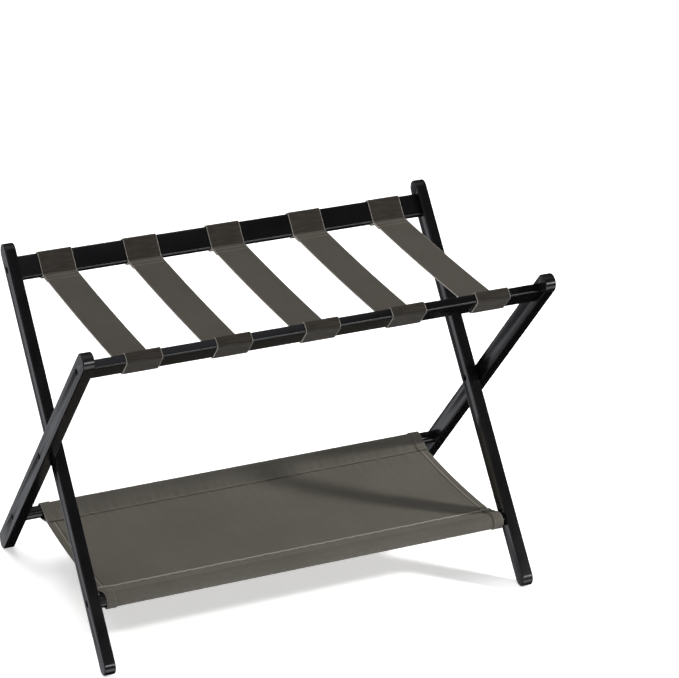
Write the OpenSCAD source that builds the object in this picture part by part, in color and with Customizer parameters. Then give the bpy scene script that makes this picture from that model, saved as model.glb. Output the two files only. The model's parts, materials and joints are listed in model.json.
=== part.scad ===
// Folding luggage rack: two crossed wooden frames, five webbing straps and a fabric shelf.
// X runs along the rails, -Y is the front, Z is up, and the floor is at Z = 0.

/* [Rack] */
// Length of the rack along its rails, over the outer legs
overall_length = 680; // [500:5:900]
// Angle between each frame and the vertical when the rack stands open
open_angle = 40; // [34:1:46]

/* [Legs] */
// Thickness of a leg, measured along the rails
leg_thickness = 16; // [14:0.5:24]
// Width of a leg across its face
leg_width = 26; // [24:0.5:34]
// Distance from the pivot up to the centre of a leg's rounded top end
leg_upper_length = 292; // [240:1:360]
// Distance from the pivot down to the centre of a leg's rounded foot
leg_lower_length = 300; // [240:1:360]
// Radius that eases every long edge of a leg
leg_edge_radius = 1.5; // [0.5:0.1:3]

/* [Rails and rods] */
// Width of a top rail, measured along the legs
rail_width = 33; // [26:0.5:42]
// Thickness of a top rail
rail_thickness = 13; // [10:0.5:18]
// Radius that eases every long edge of a top rail
rail_edge_radius = 2.5; // [1:0.1:4]
// Distance from a leg's top end centre down to the middle of the top rail
rail_inset = 25; // [22:0.5:60]
// Diameter of a lower rod
rod_diameter = 18; // [14:0.5:21]
// Distance from a leg's foot centre up to the middle of the lower rod
rod_inset = 87; // [60:1:140]
// Depth of the blind socket in a leg that takes the rod's end
rod_socket_depth = 5; // [3:0.5:7]

/* [Straps] */
// Width of a strap
strap_width = 50; // [35:1:60]
// Thickness of the strap webbing
strap_thickness = 1.8; // [1:0.1:2.6]
// Space between an inner leg and the edge of the first strap
strap_end_gap = 30; // [15:1:60]

/* [Shelf] */
// Thickness of the shelf fabric
shelf_thickness = 1.6; // [1:0.1:2.4]
// Space between an inner leg and the hem of the shelf
shelf_end_gap = 6; // [4:0.5:30]

/* [Screws and dowels] */
// Diameter of a screw or bolt head
head_diameter = 8.6; // [7:0.1:10]
// Height of a screw or bolt head
head_height = 2.6; // [2:0.1:3.4]
// Depth of the recess that sinks a head below the face of the leg
recess_depth = 4; // [3:0.1:6]
// Width across the flats of the key socket in a head
key_width = 4; // [3:0.5:5]
// Depth of the key socket in a head
key_depth = 1.8; // [1:0.1:2]
// Diameter of a rail or rod screw below its head
screw_diameter = 4; // [3:0.1:5]
// Length of a rail or rod screw below its head
screw_length = 40; // [25:1:60]
// Diameter of a dowel in a rail joint
dowel_diameter = 6; // [4:0.5:8]
// Length of a dowel
dowel_length = 20; // [16:1:36]
// Distance from the edge of a rail to the middle of its dowel
dowel_edge_distance = 6.5; // [5.5:0.5:8]

/* [Pivots] */
// Diameter of the sleeve nut's barrel that the legs turn on
barrel_diameter = 6.5; // [5.5:0.1:8]
// Diameter of the pivot bolt's thread
bolt_diameter = 4; // [3:0.1:5]
// Space between the outer and the inner leg, filled by the washer
leg_gap = 1; // [0.8:0.1:4]
// Outer diameter of the washer
washer_diameter = 16; // [12:0.5:22]

/* [Fits] */
// Radial clearance between a barrel and the leg that turns on it
pivot_clearance = 0.08; // [0.04:0.01:0.1]
// Radial clearance of a fixed screw, bolt, barrel or dowel in its hole
fixed_clearance = 0.05; // [0.03:0.01:0.1]
// Radial clearance of a rod's end in its socket
socket_clearance = 0.1; // [0.05:0.01:0.3]
// Radial clearance of a head in its recess
head_clearance = 0.3; // [0.2:0.05:0.6]
// Clearance on each face of a washer, and under the sleeve nut's head
washer_clearance = 0.1; // [0.05:0.01:0.2]
// Depth left empty past the end of a dowel, a bolt or a barrel
end_clearance = 1; // [0.5:0.1:2]
// Clearance between the fabric and the wood it wraps
wrap_clearance = 0.2; // [0.1:0.05:0.5]
// Clearance between fabric on one frame and what folds past it on the other
sweep_clearance = 1; // [0.5:0.1:4]

/* [Hidden] */
$fn = 64;
STRAPS = [1, 2, 3, 4, 5];

wood_colour = "#1c1c1f";
steel_colour = "#7d7d80";
beech_colour = "#c8a878";
strap_colour = "#4e4a45";
shelf_colour = "#56534d";

// Heights and places along the legs, measured from the pivot
pivot_height = leg_lower_length * cos(open_angle) + leg_width / 2;
rail_distance = leg_upper_length - rail_inset;
rod_distance = leg_lower_length - rod_inset;

// Inner faces of the outer legs, and outer and inner faces of the inner legs
outer_frame_clear = overall_length - 2 * leg_thickness;
inner_frame_length = outer_frame_clear - 2 * leg_gap;
inner_frame_clear = inner_frame_length - 2 * leg_thickness;

strap_pitch = (inner_frame_clear - 2 * strap_end_gap - strap_width) / (len(STRAPS) - 1);
strap_skin = wrap_clearance + strap_thickness;
strap_corner_radius = rail_edge_radius + strap_skin;
shelf_length = inner_frame_clear - 2 * shelf_end_gap;
sleeve_radius = rod_diameter / 2 + wrap_clearance + shelf_thickness;

// The centre of the round on a rail's lower inner edge: its height, and its distance from the middle
corner_along = rail_distance - rail_width / 2 + rail_edge_radius;
corner_across = rail_thickness / 2 - rail_edge_radius;
corner_height = corner_along * cos(open_angle) + corner_across * sin(open_angle);
corner_distance = corner_along * sin(open_angle) - corner_across * cos(open_angle);
// A strap's span lies level with that centre and starts where the loop's skin reaches furthest in
span_level = corner_height;
span_front = corner_distance - strap_corner_radius;
// The span rides on the outer frame, so it ends inside the circle that the back loop sweeps
span_reach = rail_distance - rail_width / 2 - strap_skin - sweep_clearance;
span_back = sqrt(pow(span_reach, 2) - pow(span_level + strap_thickness / 2, 2));

// The shelf panel rides on the outer frame too, inside the circle that the front sleeve sweeps
shelf_level = -rod_distance * cos(open_angle);
shelf_back = rod_distance * sin(open_angle) - sleeve_radius;
shelf_reach = rod_distance - sleeve_radius - sweep_clearance;
shelf_front = sqrt(pow(shelf_reach, 2) - pow(shelf_level - shelf_thickness / 2, 2));

recess_diameter = head_diameter + 2 * head_clearance;
dowel_offset = rail_width / 2 - dowel_edge_distance;
dowel_in_leg = leg_thickness / 2;
screw_tip = screw_diameter * 1.5;
head_seat = leg_thickness - recess_depth;
barrel_length = head_seat + leg_gap + head_seat - end_clearance - washer_clearance;
bolt_length = barrel_length - end_clearance;
// The sleeve nut's head sinks into the inner leg's inner face, and its barrel runs out through both legs
nut_seat = inner_frame_clear / 2 + recess_depth - washer_clearance;
bolt_seat = outer_frame_clear / 2 + head_seat;
// How far a cut runs past the face it starts from
overshoot = 1;

// ---- shared shapes ----

module rounded_rect(width, height, radius) {
    inner_width = width - 2 * radius;
    inner_height = height - 2 * radius;
    square([width, inner_height], center = true);
    square([inner_width, height], center = true);
    for (sx = [-1, 1], sy = [-1, 1]) {
        translate([sx * inner_width / 2, sy * inner_height / 2]) circle(r = radius);
    }
}

// A shape drawn on the right-hand side, and its mirror image on the left
module both_sides() {
    children();
    mirror([1, 0, 0]) children();
}

// From a frame's own axes, legs along Z and pivot at the origin, to the open rack
module in_outer_frame() {
    translate([0, 0, pivot_height]) rotate([open_angle, 0, 0]) children();
}

module in_inner_frame() {
    translate([0, 0, pivot_height]) rotate([-open_angle, 0, 0]) children();
}

// A cylinder along +X from x, centred on the leg at a distance z from the pivot
module peg(x, z, diameter, length, y = 0) {
    translate([x, y, z]) rotate([0, 90, 0]) cylinder(d = diameter, h = length);
}

// Half a disc with a rounded rim: the end of a leg, on the side of +Z
module leg_end() {
    rotate([90, 0, 0]) rotate([0, 90, 0]) rotate_extrude(angle = 180) {
        intersection() {
            rounded_rect(leg_width, leg_thickness, leg_edge_radius);
            translate([0, -leg_thickness / 2]) square([leg_width / 2, leg_thickness]);
        }
    }
}

// A leg with both ends rounded, its inner face at x
module leg_blank(x) {
    translate([x + leg_thickness / 2, 0, 0]) {
        translate([0, 0, -leg_lower_length]) {
            linear_extrude(leg_upper_length + leg_lower_length) {
                rounded_rect(leg_thickness, leg_width, leg_edge_radius);
            }
        }
        translate([0, 0, leg_upper_length]) leg_end();
        translate([0, 0, -leg_lower_length]) rotate([180, 0, 0]) leg_end();
    }
}

// Everything cut from a leg for its rail and its rod, the leg's inner face being at x
module rail_and_rod_cuts(x) {
    for (z = [rail_distance, -rod_distance]) {
        peg(x + head_seat, z, recess_diameter, recess_depth + overshoot);
        peg(x - overshoot, z, screw_diameter + 2 * fixed_clearance, leg_thickness + overshoot);
    }
    for (side = [-1, 1]) {
        peg(x - overshoot, rail_distance + side * dowel_offset,
            dowel_diameter + 2 * fixed_clearance, dowel_in_leg + end_clearance + overshoot);
    }
    peg(x - overshoot, -rod_distance, rod_diameter + 2 * socket_clearance, rod_socket_depth + overshoot);
}

// A head with its key socket, seated at x and facing +X
module key_head(x) {
    translate([x, 0, 0]) rotate([0, 90, 0]) difference() {
        cylinder(d = head_diameter, h = head_height);
        translate([0, 0, head_height - key_depth]) {
            cylinder(d = key_width / cos(30), h = key_depth + overshoot, $fn = 6);
        }
    }
}

// A rail or rod screw with its head seated at x
module wood_screw(x) {
    key_head(x);
    translate([x, 0, 0]) rotate([0, -90, 0]) {
        cylinder(d = screw_diameter, h = screw_length - screw_tip);
        translate([0, 0, screw_length - screw_tip]) {
            cylinder(d1 = screw_diameter, d2 = screw_diameter / 8, h = screw_tip);
        }
    }
}

// ---- legs ----

module outer_leg() {
    inner_face = outer_frame_clear / 2;
    color(wood_colour) in_outer_frame() difference() {
        leg_blank(inner_face);
        rail_and_rod_cuts(inner_face);
        peg(inner_face + head_seat, 0, recess_diameter, recess_depth + overshoot);
        peg(inner_face - overshoot, 0, barrel_diameter + 2 * fixed_clearance, leg_thickness + overshoot);
    }
}

module inner_leg() {
    inner_face = inner_frame_clear / 2;
    color(wood_colour) in_inner_frame() difference() {
        leg_blank(inner_face);
        rail_and_rod_cuts(inner_face);
        peg(inner_face - overshoot, 0, recess_diameter, recess_depth + overshoot);
        peg(inner_face - overshoot, 0,
            barrel_diameter + 2 * pivot_clearance, leg_thickness + 2 * overshoot);
    }
}

// ---- rails and rods ----

// A top rail between legs whose inner faces are clear apart
module top_rail(clear) {
    screw_in_rail = screw_length - head_seat + end_clearance;
    dowel_in_rail = dowel_length - dowel_in_leg + end_clearance;
    translate([0, 0, rail_distance]) difference() {
        rotate([90, 0, 90]) translate([0, 0, -clear / 2]) linear_extrude(clear) {
            rounded_rect(rail_thickness, rail_width, rail_edge_radius);
        }
        both_sides() {
            peg(clear / 2 - screw_in_rail, 0,
                screw_diameter + 2 * fixed_clearance, screw_in_rail + overshoot);
            for (side = [-1, 1]) {
                peg(clear / 2 - dowel_in_rail, side * dowel_offset,
                    dowel_diameter + 2 * fixed_clearance, dowel_in_rail + overshoot);
            }
        }
    }
}

// A lower rod whose ends sit in the sockets of legs that are clear apart
module lower_rod(clear) {
    rod_end = clear / 2 + rod_socket_depth;
    screw_in_rod = screw_length - head_seat + rod_socket_depth + end_clearance;
    difference() {
        peg(-rod_end, -rod_distance, rod_diameter, 2 * rod_end);
        both_sides() {
            peg(rod_end - screw_in_rod, -rod_distance,
                screw_diameter + 2 * fixed_clearance, screw_in_rod + overshoot);
        }
    }
}

module rail_dowels(clear) {
    both_sides() {
        for (side = [-1, 1]) {
            peg(clear / 2 + dowel_in_leg - dowel_length, rail_distance + side * dowel_offset,
                dowel_diameter, dowel_length);
        }
    }
}

module screw_pair(clear, z) {
    translate([0, 0, z]) both_sides() wood_screw(clear / 2 + head_seat);
}

// ---- pivots ----

module pivot_bolts() {
    color(steel_colour) in_outer_frame() both_sides() {
        key_head(bolt_seat);
        peg(bolt_seat - bolt_length, 0, bolt_diameter, bolt_length);
    }
}

module pivot_sleeve_nuts() {
    thread_start = bolt_seat - bolt_length - end_clearance / 2;
    color(steel_colour) in_outer_frame() both_sides() difference() {
        union() {
            mirror([1, 0, 0]) key_head(-nut_seat);
            peg(nut_seat, 0, barrel_diameter, barrel_length);
        }
        peg(thread_start, 0, bolt_diameter + 2 * fixed_clearance, bolt_length + end_clearance);
    }
}

module pivot_washers() {
    washer_thickness = leg_gap - 2 * washer_clearance;
    color(steel_colour) in_outer_frame() both_sides() difference() {
        peg(inner_frame_length / 2 + washer_clearance, 0, washer_diameter, washer_thickness);
        peg(inner_frame_length / 2 - overshoot, 0,
            barrel_diameter + 2 * pivot_clearance, leg_gap + 2 * overshoot);
    }
}

// ---- straps ----

function strap_x(index) = (index - (len(STRAPS) + 1) / 2) * strap_pitch;

// The loop of one strap around a top rail, in the axes of the rail's frame
module strap_loop(index) {
    color(strap_colour) translate([strap_x(index) - strap_width / 2, 0, rail_distance]) {
        rotate([90, 0, 90]) linear_extrude(strap_width) difference() {
            rounded_rect(rail_thickness + 2 * strap_skin, rail_width + 2 * strap_skin, strap_corner_radius);
            rounded_rect(rail_thickness + 2 * wrap_clearance, rail_width + 2 * wrap_clearance,
                rail_edge_radius + wrap_clearance);
        }
    }
}

module strap_span(index) {
    middle = (span_back - span_front) / 2;
    color(strap_colour) translate([strap_x(index), middle, pivot_height + span_level]) {
        cube([strap_width, span_front + span_back, strap_thickness], center = true);
    }
}

// ---- shelf ----

module shelf_panel() {
    middle = (shelf_back - shelf_front) / 2;
    color(shelf_colour) translate([0, middle, pivot_height + shelf_level]) {
        cube([shelf_length, shelf_front + shelf_back, shelf_thickness], center = true);
    }
}

module shelf_sleeve() {
    color(shelf_colour) difference() {
        peg(-shelf_length / 2, -rod_distance, 2 * sleeve_radius, shelf_length);
        peg(-shelf_length / 2 - overshoot, -rod_distance,
            rod_diameter + 2 * wrap_clearance, shelf_length + 2 * overshoot);
    }
}

// ---- the rack ----

module front_top_rail() {
    color(wood_colour) in_outer_frame() top_rail(outer_frame_clear);
}

module back_top_rail() {
    color(wood_colour) in_inner_frame() top_rail(inner_frame_clear);
}

module front_lower_rod() {
    color(wood_colour) in_inner_frame() lower_rod(inner_frame_clear);
}

module back_lower_rod() {
    color(wood_colour) in_outer_frame() lower_rod(outer_frame_clear);
}

module front_rail_dowels() {
    color(beech_colour) in_outer_frame() rail_dowels(outer_frame_clear);
}

module back_rail_dowels() {
    color(beech_colour) in_inner_frame() rail_dowels(inner_frame_clear);
}

module front_rail_screws() {
    color(steel_colour) in_outer_frame() screw_pair(outer_frame_clear, rail_distance);
}

module back_rail_screws() {
    color(steel_colour) in_inner_frame() screw_pair(inner_frame_clear, rail_distance);
}

module front_rod_screws() {
    color(steel_colour) in_inner_frame() screw_pair(inner_frame_clear, -rod_distance);
}

module back_rod_screws() {
    color(steel_colour) in_outer_frame() screw_pair(outer_frame_clear, -rod_distance);
}

mirror([1, 0, 0]) outer_leg();  // outer_leg_left
outer_leg();  // outer_leg_right
mirror([1, 0, 0]) inner_leg();  // inner_leg_left
inner_leg();  // inner_leg_right
front_top_rail();
back_top_rail();
front_lower_rod();
back_lower_rod();
front_rail_dowels();
back_rail_dowels();
front_rail_screws();
back_rail_screws();
front_rod_screws();
back_rod_screws();
pivot_bolts();
pivot_sleeve_nuts();
pivot_washers();
for (index = STRAPS) {
    in_outer_frame() strap_loop(index);
    strap_span(index);
    in_inner_frame() strap_loop(index);
}
shelf_panel();
in_inner_frame() shelf_sleeve();  // shelf_front_sleeve
in_outer_frame() shelf_sleeve();  // shelf_back_sleeve
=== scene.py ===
import json
import math

import bmesh
import bpy
import numpy as np
from mathutils import Matrix, Vector


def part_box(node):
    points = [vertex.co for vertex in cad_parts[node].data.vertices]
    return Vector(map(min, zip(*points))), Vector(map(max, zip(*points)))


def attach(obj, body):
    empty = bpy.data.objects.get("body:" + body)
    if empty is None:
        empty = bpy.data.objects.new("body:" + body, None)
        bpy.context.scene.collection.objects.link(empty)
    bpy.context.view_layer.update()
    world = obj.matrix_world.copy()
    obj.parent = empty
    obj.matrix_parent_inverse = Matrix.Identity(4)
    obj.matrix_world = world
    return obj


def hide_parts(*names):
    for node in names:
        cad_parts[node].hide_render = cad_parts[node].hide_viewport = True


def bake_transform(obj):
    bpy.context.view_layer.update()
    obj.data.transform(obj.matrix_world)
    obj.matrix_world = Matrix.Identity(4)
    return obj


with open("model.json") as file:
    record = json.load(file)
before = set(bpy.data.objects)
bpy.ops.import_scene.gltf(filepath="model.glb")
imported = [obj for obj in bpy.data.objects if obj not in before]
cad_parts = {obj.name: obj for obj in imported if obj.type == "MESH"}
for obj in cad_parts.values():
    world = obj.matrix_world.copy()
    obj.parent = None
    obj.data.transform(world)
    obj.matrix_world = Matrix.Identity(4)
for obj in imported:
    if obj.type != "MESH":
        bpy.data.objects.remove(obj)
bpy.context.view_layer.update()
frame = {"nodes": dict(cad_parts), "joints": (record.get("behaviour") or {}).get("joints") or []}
scene = bpy.context.scene
mm = 0.001


# Shared helpers

def toLinear(hexColour):
    channels = [int(hexColour[i:i + 2], 16) / 255 for i in (1, 3, 5)]
    return tuple(c / 12.92 if c <= 0.04045 else ((c + 0.055) / 1.055) ** 2.4 for c in channels) + (1.0,)


def setInputs(tree, node, inputs):  # each is a plain value, or a (node, output) link
    for name, value in inputs.items():
        if isinstance(value, tuple) and isinstance(value[0], bpy.types.Node):
            tree.links.new(value[0].outputs[value[1]], node.inputs[name])
        else:
            node.inputs[name].default_value = value


def addNode(tree, kind, inputs=None, **settings):
    node = tree.nodes.new(kind)
    for name, value in settings.items():
        setattr(node, name, value)
    setInputs(tree, node, inputs or {})
    return node


def newObject(name, mesh, material=None):
    piece = bpy.data.objects.new(name, mesh)
    scene.collection.objects.link(piece)
    if material:
        mesh.materials.clear()
        mesh.materials.append(material)
    return piece


def meshFrom(name, points, faces=(), edges=()):
    mesh = bpy.data.meshes.new(name)
    mesh.from_pydata([tuple(p) for p in points], list(edges), list(faces))
    mesh.update()
    return mesh


def bakeModifiers(piece):  # the evaluated shape becomes the piece's own plain mesh
    graph = bpy.context.evaluated_depsgraph_get()
    baked = bpy.data.meshes.new_from_object(piece.evaluated_get(graph), depsgraph=graph)
    piece.modifiers.clear()
    piece.data = baked
    return piece


def smoothByAngle(mesh, degrees):
    limit = math.radians(degrees)
    shape = bmesh.new()
    shape.from_mesh(mesh)
    for face in shape.faces:
        face.smooth = True
    for edge in shape.edges:
        edge.smooth = len(edge.link_faces) != 2 or edge.calc_face_angle(0.0) < limit
    shape.to_mesh(mesh)
    shape.free()


# Where the frames are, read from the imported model

pivot = Vector(frame["joints"][0]["pos_m"])


def spanAlong(nodeName, direction):  # lowest and highest reach of a node along a direction, from the pivot
    reach = [direction.dot(v.co - pivot) for v in frame["nodes"][nodeName].data.vertices]
    return min(reach), max(reach)


def nodeCentre(nodeName):
    low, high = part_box(nodeName)
    return (low + high) / 2


frontRailCentre = nodeCentre("front_top_rail")
openAngle = math.atan2(-frontRailCentre.y, frontRailCentre.z - pivot.z)
along = {  # up each frame's legs
    "outer_frame": Vector((0, -math.sin(openAngle), math.cos(openAngle))),
    "inner_frame": Vector((0, math.sin(openAngle), math.cos(openAngle))),
}
inward = {  # square to the legs, towards the middle of the rack
    "outer_frame": Vector((0, math.cos(openAngle), math.sin(openAngle))),
    "inner_frame": Vector((0, -math.cos(openAngle), math.sin(openAngle))),
}
railLow, railHigh = spanAlong("front_top_rail", along["outer_frame"])
railHalfWidth = (railHigh - railLow) / 2
railHalfThickness = spanAlong("front_top_rail", inward["outer_frame"])[1]
rodLow, rodHigh = spanAlong("back_lower_rod", along["outer_frame"])
rodRadius = (rodHigh - rodLow) / 2
print(f"frame: open {math.degrees(openAngle):.1f} degrees, "
      f"rail {railHalfWidth * 2000:.1f} mm, rod {rodRadius * 2000:.1f} mm")


# Camera

cameraSettings = {
    "place": (-1.4041, -3.3787, 2.0743),
    "azimuth": -24.096,
    "elevation": 25.1,
    "roll": 0.814,
    "focalLength": 153.81,
}


def makeCamera():
    azimuth, elevation, roll = (math.radians(cameraSettings[k]) for k in ("azimuth", "elevation", "roll"))
    ahead = Vector((-math.sin(azimuth) * math.cos(elevation),
                    math.cos(azimuth) * math.cos(elevation), -math.sin(elevation)))
    right = Vector((math.cos(azimuth), math.sin(azimuth), 0))
    up = right.cross(ahead)
    rolledRight = right * math.cos(roll) + up * math.sin(roll)
    rolledUp = up * math.cos(roll) - right * math.sin(roll)
    turn = Matrix((rolledRight, rolledUp, -ahead)).transposed()
    data = bpy.data.cameras.new("camera")
    data.lens = cameraSettings["focalLength"]
    data.sensor_width = 36
    data.clip_end = 50
    camera = bpy.data.objects.new("camera", data)
    camera.matrix_world = Matrix.Translation(cameraSettings["place"]) @ turn.to_4x4()
    scene.collection.objects.link(camera)
    scene.camera = camera


makeCamera()
print("camera: placed")


# Materials

def newMaterial(name):
    material = bpy.data.materials.new(name)
    material.use_nodes = True
    tree = material.node_tree
    tree.nodes.clear()
    shader = addNode(tree, "ShaderNodeBsdfPrincipled")
    addNode(tree, "ShaderNodeOutputMaterial", {"Surface": (shader, "BSDF")})
    return material, tree, shader


lacquer = {
    "colour": "#060607",
    "thinColour": "#0a0a0b",  # where the spray left less lacquer
    # paler lacquer on the edges: worn, and also a painted highlight
    "wornAndHighlightColour": "#2c2b29",
    "roughness": (0.2, 0.28),
    "rodRoughness": (0.14, 0.2),  # the turned rods are glossier than the flat parts
    "grainWidth": 2.2 * mm,  # beech rays show through as faint streaks, drawn coarser than the real 0.5 mm
    "grainLength": 60 * mm,
}


def makeLacquer(name, turn, roughness):
    # Satin nitrocellulose lacquer over beech: near-black, soft gloss, the grain just telegraphs through. Its edges
    # turn paler, partly worn lacquer and partly a painted highlight
    material, tree, shader = newMaterial(name)
    place = addNode(tree, "ShaderNodeTexCoord")
    lay = addNode(tree, "ShaderNodeMapping", {"Vector": (place, "Object"), "Rotation": turn})
    stretch = addNode(tree, "ShaderNodeMapping", {
        "Vector": (lay, "Vector"),
        "Scale": (1 / lacquer["grainLength"], 1 / lacquer["grainWidth"], 1 / lacquer["grainWidth"]),
    })
    grain = addNode(tree, "ShaderNodeTexNoise", {"Vector": (stretch, "Vector"), "Scale": 1.0, "Detail": 3.0})
    cloud = addNode(tree, "ShaderNodeTexNoise", {"Vector": (place, "Object"), "Scale": 18.0, "Detail": 4.0})
    orangePeel = addNode(tree, "ShaderNodeTexNoise", {"Vector": (place, "Object"), "Scale": 700.0, "Detail": 2.0})
    tone = addNode(tree, "ShaderNodeMix", {
        "Factor": (cloud, "Fac"), 6: toLinear(lacquer["colour"]), 7: toLinear(lacquer["thinColour"]),
    }, data_type="RGBA")
    edge = addNode(tree, "ShaderNodeAttribute", attribute_name="edgeWearAndHighlight")
    patchy = addNode(tree, "ShaderNodeMapRange", {
        "Value": (cloud, "Fac"), "From Min": 0.45, "From Max": 0.7, "To Min": 0.15, "To Max": 0.8,
    })
    # where the edges are paler: worn lacquer and a painted highlight
    wornAndLit = addNode(tree, "ShaderNodeMath", {0: (edge, "Fac"), 1: (patchy, "Result")}, operation="MULTIPLY")
    colour = addNode(tree, "ShaderNodeMix", {
        "Factor": (wornAndLit, "Value"), 6: (tone, 2), 7: toLinear(lacquer["wornAndHighlightColour"]),
    }, data_type="RGBA")
    gloss = addNode(tree, "ShaderNodeMapRange", {
        "Value": (cloud, "Fac"), "From Min": 0.3, "From Max": 0.7,
        "To Min": roughness[0], "To Max": roughness[1],
    })
    bumpGrain = addNode(tree, "ShaderNodeBump", {"Height": (grain, "Fac"), "Strength": 0.10, "Distance": 0.1 * mm})
    bump = addNode(tree, "ShaderNodeBump", {
        "Height": (orangePeel, "Fac"), "Normal": (bumpGrain, "Normal"), "Strength": 0.12, "Distance": 0.05 * mm,
    })
    setInputs(tree, shader, {
        "Base Color": (colour, 2), "Roughness": (gloss, "Result"), "Normal": (bump, "Normal"),
        "IOR": 1.5, "Coat Weight": 0.25, "Coat Roughness": 0.12,
    })
    return material


cloth = {
    "strapColour": "#3f3c37",
    "strapDark": "#37342f",
    # a painted highlight along both edges of the webbing
    "strapEdgeHighlight": "#9c978e",
    # painted shade on the webbing where it wraps round the rails
    "strapLoopShade": "#1f1b16",
    "warpPitch": 1.6 * mm,
    "ribPitch": 2.4 * mm,
    "edgeHighlightWidth": 0.8 * mm,
    "canvasColour": "#5a5750",
    "canvasDark": "#504d46",
    # painted highlight along the canvas folds and the front flap's edge
    "canvasFoldHighlight": "#b5afa4",
    # painted shade along the seam of each hem
    "canvasSeamShade": "#2c2a26",
    "yarnPitch": 1.3 * mm,  # the real weave is near 0.6 mm and would not show
    "ridgeFromSeam": 2.4 * mm,  # a painted highlight runs on a ridge beside the painted seam shade of each hem
    "threadColour": "#8a857b",
}


def weaveHeight(tree, split, pitchAcross, pitchAlong):  # over-and-under weave from two crossed waves
    waves = []
    for axis, pitch in (("X", pitchAcross), ("Y", pitchAlong)):
        turns = addNode(tree, "ShaderNodeMath", {0: (split, axis), 1: math.tau / pitch}, operation="MULTIPLY")
        waves.append(addNode(tree, "ShaderNodeMath", {0: (turns, "Value")}, operation="SINE"))
    return addNode(tree, "ShaderNodeMath", {0: (waves[0], "Value"), 1: (waves[1], "Value")}, operation="MULTIPLY")


def clothShader(name, colour, dark, pitchAcross, pitchAlong, bumpDepth):
    material, tree, shader = newMaterial(name)
    uv = addNode(tree, "ShaderNodeUVMap", uv_map="cloth")
    split = addNode(tree, "ShaderNodeSeparateXYZ", {"Vector": (uv, "UV")})
    place = addNode(tree, "ShaderNodeTexCoord")
    weave = weaveHeight(tree, split, pitchAcross, pitchAlong)
    slub = addNode(tree, "ShaderNodeMapping", {"Vector": (uv, "UV"), "Scale": (60.0, 900.0, 1.0)})
    yarn = addNode(tree, "ShaderNodeTexNoise", {"Vector": (slub, "Vector"), "Scale": 1.0, "Detail": 3.0})
    cloud = addNode(tree, "ShaderNodeTexNoise", {"Vector": (place, "Object"), "Scale": 9.0, "Detail": 3.0})
    mixed = addNode(tree, "ShaderNodeMath", {0: (yarn, "Fac"), 1: (cloud, "Fac")}, operation="ADD")
    spread = addNode(tree, "ShaderNodeMapRange", {"Value": (mixed, "Value"), "From Min": 0.7, "From Max": 1.3})
    tone = addNode(tree, "ShaderNodeMix", {
        "Factor": (spread, "Result"), 6: toLinear(dark), 7: toLinear(colour),
    }, data_type="RGBA")
    # the weave's height scales the colour: painted shade in its dips, painted highlight on its crossings
    shaded = addNode(tree, "ShaderNodeMapRange", {
        "Value": (weave, "Value"), "From Min": -1.0, "From Max": 1.0, "To Min": 0.86, "To Max": 1.08,
    })
    colourOut = addNode(tree, "ShaderNodeVectorMath", {0: (tone, 2), "Scale": (shaded, "Result")}, operation="SCALE")
    fuzz = addNode(tree, "ShaderNodeTexNoise", {"Vector": (place, "Object"), "Scale": 1500.0, "Detail": 1.0})
    height = addNode(tree, "ShaderNodeMath", {
        0: (fuzz, "Fac"), 1: 0.5, 2: (weave, "Value"),
    }, operation="MULTIPLY_ADD")
    bump = addNode(tree, "ShaderNodeBump", {"Height": (height, "Value"), "Strength": 0.5, "Distance": bumpDepth})
    setInputs(tree, shader, {
        "Normal": (bump, "Normal"), "Roughness": 0.88, "IOR": 1.46,
        "Sheen Weight": 0.18, "Sheen Roughness": 0.45, "Sheen Tint": toLinear("#b8b0a4"),
    })
    return material, tree, uv, split, colourOut, shader


def makeWebbing(width):
    # Woven polyester webbing: matt, ribbed across, a painted highlight along both edges, streaky painted shade where
    # it wraps round a rail
    material, tree, uv, split, colour, shader = clothShader(
        "polyesterWebbing", cloth["strapColour"], cloth["strapDark"],
        cloth["warpPitch"], cloth["ribPitch"], 0.2 * mm)
    # streaky painted shade on the webbing round the rails
    streakPlace = addNode(tree, "ShaderNodeMapping", {"Vector": (uv, "UV"), "Scale": (38.0, 620.0, 1.0)})
    streak = addNode(tree, "ShaderNodeTexNoise", {"Vector": (streakPlace, "Vector"), "Scale": 1.0, "Detail": 4.0})
    loopShadeMask = addNode(tree, "ShaderNodeAttribute", attribute_name="railLoopShade")
    dark = addNode(tree, "ShaderNodeMapRange", {
        "Value": (streak, "Fac"), "From Min": 0.38, "From Max": 0.62, "To Min": 0.5, "To Max": 1.0,
    })
    amount = addNode(tree, "ShaderNodeMath", {0: (dark, "Result"), 1: (loopShadeMask, "Fac")}, operation="MULTIPLY")
    loopShaded = addNode(tree, "ShaderNodeMix", {
        "Factor": (amount, "Value"), 6: (colour, "Vector"), 7: toLinear(cloth["strapLoopShade"]),
    }, data_type="RGBA")
    # a pale line along both edges: painted highlight
    fromMiddle = addNode(tree, "ShaderNodeMath", {0: (split, "X")}, operation="ABSOLUTE")
    edge = addNode(tree, "ShaderNodeMapRange", {
        "Value": (fromMiddle, "Value"), "From Min": width / 2 - cloth["edgeHighlightWidth"],
        "From Max": width / 2 - 0.45 * mm, "To Min": 0.0, "To Max": 0.85,
    })
    edgeLit = addNode(tree, "ShaderNodeMix", {
        "Factor": (edge, "Result"), 6: (loopShaded, 2), 7: toLinear(cloth["strapEdgeHighlight"]),
    }, data_type="RGBA")
    setInputs(tree, shader, {"Base Color": (edgeLit, 2)})
    return material


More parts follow.
